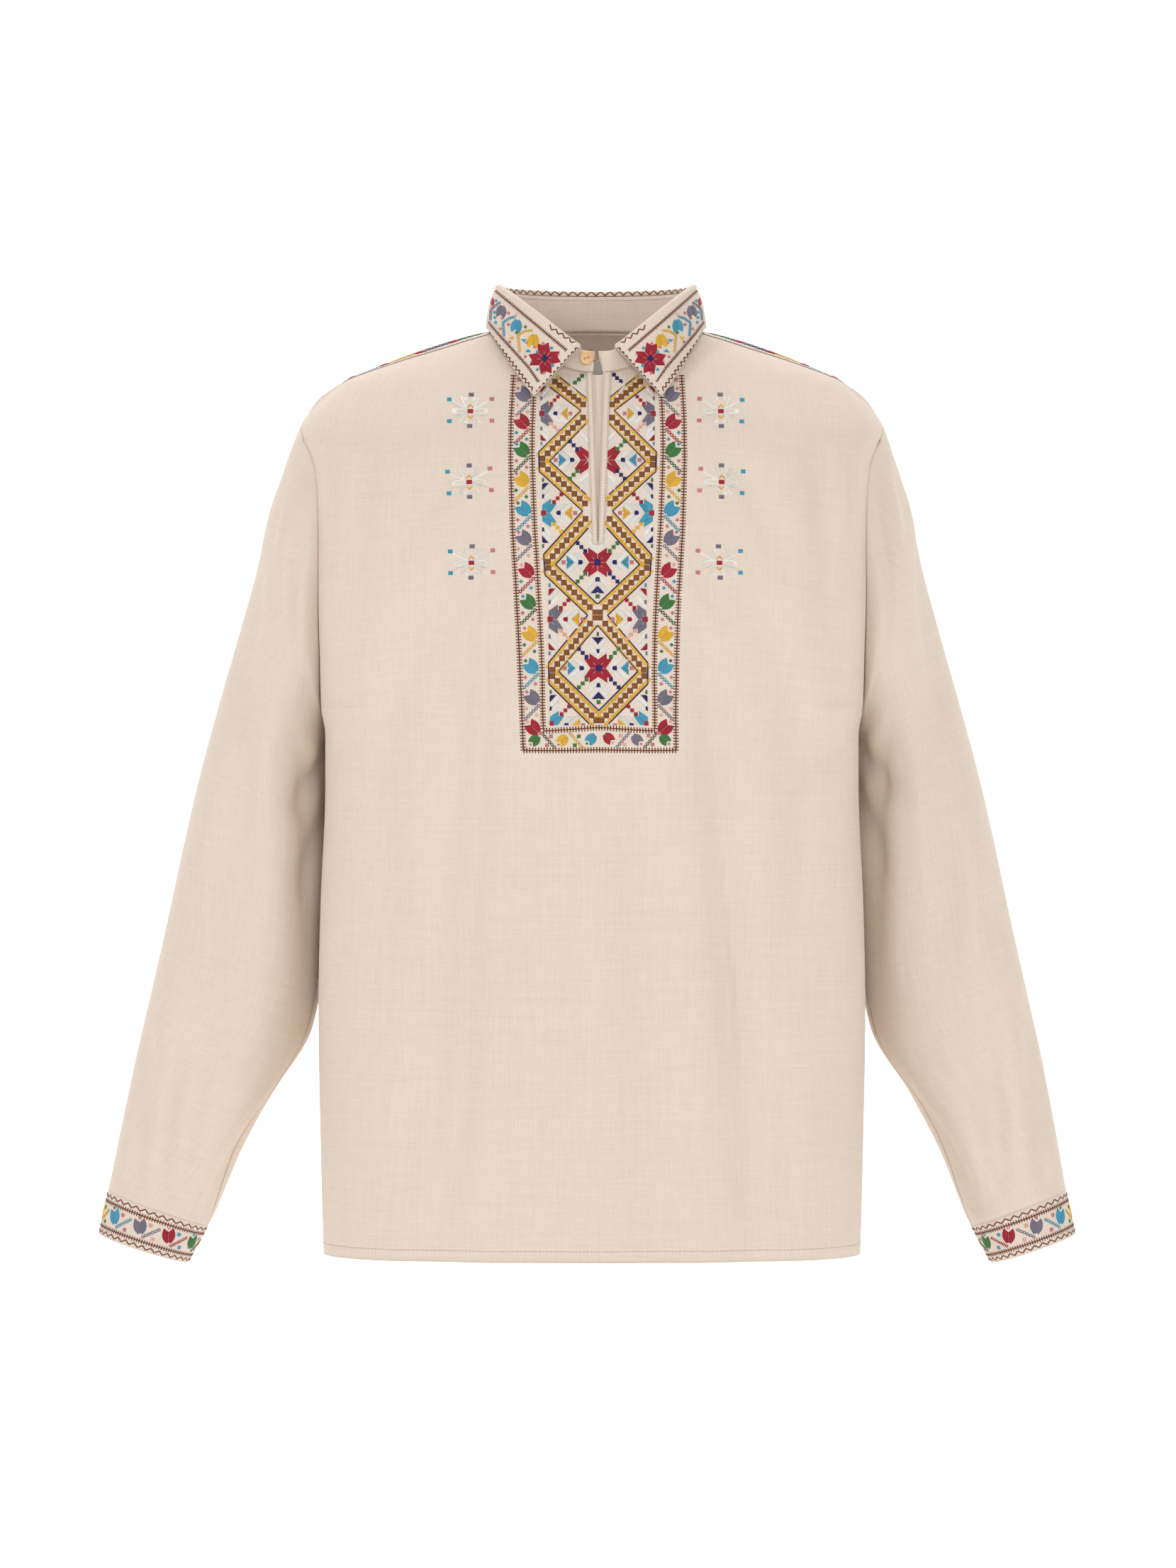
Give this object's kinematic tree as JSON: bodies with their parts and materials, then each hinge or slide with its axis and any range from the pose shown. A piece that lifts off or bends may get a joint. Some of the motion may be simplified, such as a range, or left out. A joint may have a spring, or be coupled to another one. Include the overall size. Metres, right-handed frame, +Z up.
{
  "type": "vyshyvanka shirt",
  "caption": "Long-sleeved linen folk shirt, filled out as worn and hollow, with a folded collar, slit neck with a wooden button, band cuffs and folk embroidery.",
  "frame": {"origin": "inside the neck, above the top of the front slit, where the wearer's neck and shoulders hold the shirt", "axes": "+Z up along the neck, front of the shirt towards -Y, the wearer's left arm towards +X"},
  "size_m": [0.7818, 0.2531, 0.7801],
  "materials": {
    "linen": "plain woven natural linen, matte",
    "button_wood": "pale turned wood, satin",
    "brown_thread": "twisted thread",
    "label_cloth": "smooth woven label, bare"
  },
  "bodies": {
    "root": {"front": "linen", "back": "linen", "sleeve_left": "linen", "sleeve_right": "linen", "cuff_left": "linen", "cuff_right": "linen", "collar_stand": "linen", "collar_fall": "linen", "slit_edge_left": "linen", "slit_edge_right": "linen", "slit_underlay": "linen", "button": "button_wood", "button_loop": "brown_thread", "label": "label_cloth"}
  },
  "joints": []
}
